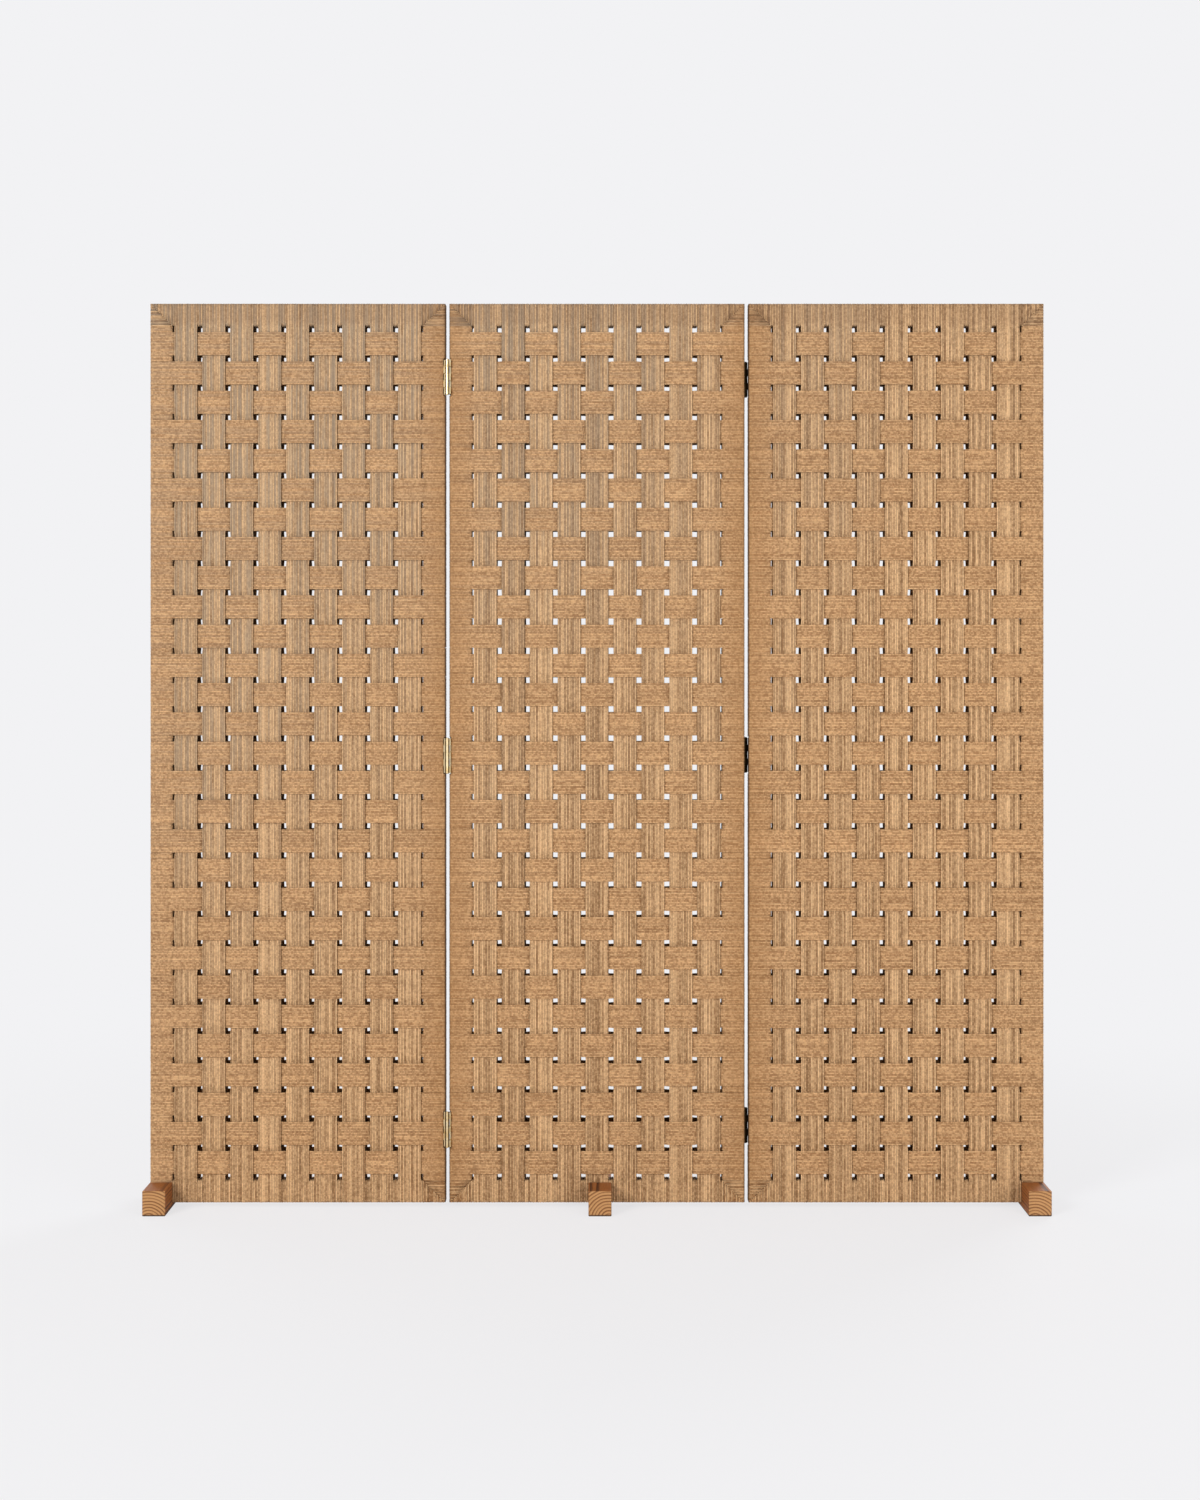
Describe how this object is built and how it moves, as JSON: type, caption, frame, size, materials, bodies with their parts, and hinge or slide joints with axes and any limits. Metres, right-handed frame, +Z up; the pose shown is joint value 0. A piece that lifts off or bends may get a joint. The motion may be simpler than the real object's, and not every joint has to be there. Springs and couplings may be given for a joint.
{
  "type": "folding screen",
  "caption": "Folding room screen: wooden panel frames covered with woven paper-cord bands, joined by brass butt hinges and standing on slotted wooden feet.",
  "frame": {"origin": "on the floor, under the centre of the screen standing flat", "axes": "+X along the width, to the right as seen from the front; -Y is the front; +Z up"},
  "size_m": [1.8146, 0.17, 1.834],
  "materials": {
    "frame_wood": "oiled",
    "foot_wood": "oiled",
    "warp_cord": "matt",
    "weft_cord": "matt",
    "brass": "polished"
  },
  "bodies": {
    "middle_panel": {"middle_panel_left_stile": "frame_wood", "middle_panel_right_stile": "frame_wood", "middle_panel_bottom_rail": "frame_wood", "middle_panel_top_rail": "frame_wood", "middle_panel_warp_bands": "warp_cord", "middle_panel_weft_bands": "weft_cord", "middle_panel_left_stile_wraps": "weft_cord", "middle_panel_right_stile_wraps": "weft_cord", "middle_panel_rail_wraps": "warp_cord", "middle_panel_corner_wraps": "weft_cord", "middle_foot": "foot_wood", "middle_foot_screws": "brass", "left_hinge_bottom_inner_leaf": "brass", "left_hinge_bottom_pin": "brass", "left_hinge_centre_inner_leaf": "brass", "left_hinge_centre_pin": "brass", "left_hinge_top_inner_leaf": "brass", "left_hinge_top_pin": "brass", "left_hinge_inner_screws": "brass", "right_hinge_bottom_inner_leaf": "brass", "right_hinge_bottom_pin": "brass", "right_hinge_centre_inner_leaf": "brass", "right_hinge_centre_pin": "brass", "right_hinge_top_inner_leaf": "brass", "right_hinge_top_pin": "brass", "right_hinge_inner_screws": "brass"},
    "left_panel": {"left_panel_left_stile": "frame_wood", "left_panel_right_stile": "frame_wood", "left_panel_bottom_rail": "frame_wood", "left_panel_top_rail": "frame_wood", "left_panel_warp_bands": "warp_cord", "left_panel_weft_bands": "weft_cord", "left_panel_left_stile_wraps": "weft_cord", "left_panel_right_stile_wraps": "weft_cord", "left_panel_rail_wraps": "warp_cord", "left_panel_corner_wraps": "weft_cord", "left_foot": "foot_wood", "left_foot_screws": "brass", "left_hinge_bottom_outer_leaf": "brass", "left_hinge_centre_outer_leaf": "brass", "left_hinge_top_outer_leaf": "brass", "left_hinge_outer_screws": "brass"},
    "right_panel": {"right_panel_left_stile": "frame_wood", "right_panel_right_stile": "frame_wood", "right_panel_bottom_rail": "frame_wood", "right_panel_top_rail": "frame_wood", "right_panel_warp_bands": "warp_cord", "right_panel_weft_bands": "weft_cord", "right_panel_left_stile_wraps": "weft_cord", "right_panel_right_stile_wraps": "weft_cord", "right_panel_rail_wraps": "warp_cord", "right_panel_corner_wraps": "weft_cord", "right_foot": "foot_wood", "right_foot_screws": "brass", "right_hinge_bottom_outer_leaf": "brass", "right_hinge_centre_outer_leaf": "brass", "right_hinge_top_outer_leaf": "brass", "right_hinge_outer_screws": "brass"}
  },
  "joints": [
    {"name": "left_fold", "type": "hinge", "parent": "middle_panel", "child": "left_panel", "pos_m": [-0.30365, -0.02, 0.921], "axis": [0, 0, 1], "range_deg": [-10, 160]},
    {"name": "right_fold", "type": "hinge", "parent": "middle_panel", "child": "right_panel", "pos_m": [0.30365, 0.02, 0.921], "axis": [0, 0, 1], "range_deg": [-10, 160]}
  ]
}
